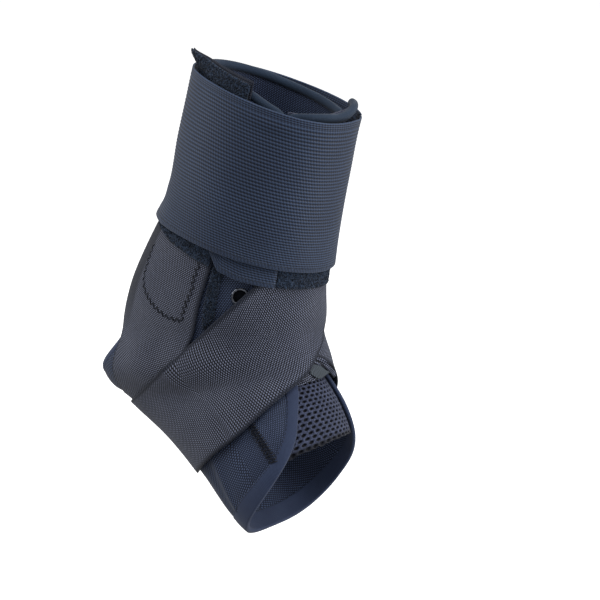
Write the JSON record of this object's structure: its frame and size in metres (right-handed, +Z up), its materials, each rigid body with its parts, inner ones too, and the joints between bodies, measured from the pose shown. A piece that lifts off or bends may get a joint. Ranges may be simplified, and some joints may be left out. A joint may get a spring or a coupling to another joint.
{
  "type": "ankle brace",
  "caption": "Laced nylon ankle brace in its worn shape, with crossing side straps, a mesh tongue, an open heel and an elastic cuff round the leg.",
  "frame": {"origin": "middle of the ankle that the brace wraps, on the axis between the ankle bones, where it sits when worn", "axes": "+Z up the shin, +X towards the toes, -Y the outer side of a right foot"},
  "size_m": [0.162, 0.0972, 0.2589],
  "materials": {
    "boot_body": "woven nylon twill",
    "tongue": "open spacer mesh",
    "front_edge_tape": "folded knit edge tape",
    "heel_edge_tape": "folded knit edge tape",
    "strap_under": "ballistic nylon twill strap",
    "strap_over": "ballistic nylon twill strap",
    "strap_loop_pad": "brushed loop pile",
    "side_loop_pad": "brushed loop pile",
    "cuff_first_turn": "ribbed woven elastic",
    "cuff_loop_band": "brushed loop pile",
    "cuff_elastic": "ribbed woven elastic",
    "eyelet": "plated steel ring"
  },
  "bodies": {
    "root": {"boot_body": "boot_body", "tongue": "tongue", "front_edge_tape": "front_edge_tape", "heel_edge_tape": "heel_edge_tape", "strap_under": "strap_under", "strap_over": "strap_over", "strap_loop_pad": "strap_loop_pad", "side_loop_pad": "side_loop_pad", "cuff_first_turn": "cuff_first_turn", "cuff_loop_band": "cuff_loop_band", "cuff_elastic": "cuff_elastic", "eyelet": "eyelet"}
  },
  "joints": []
}
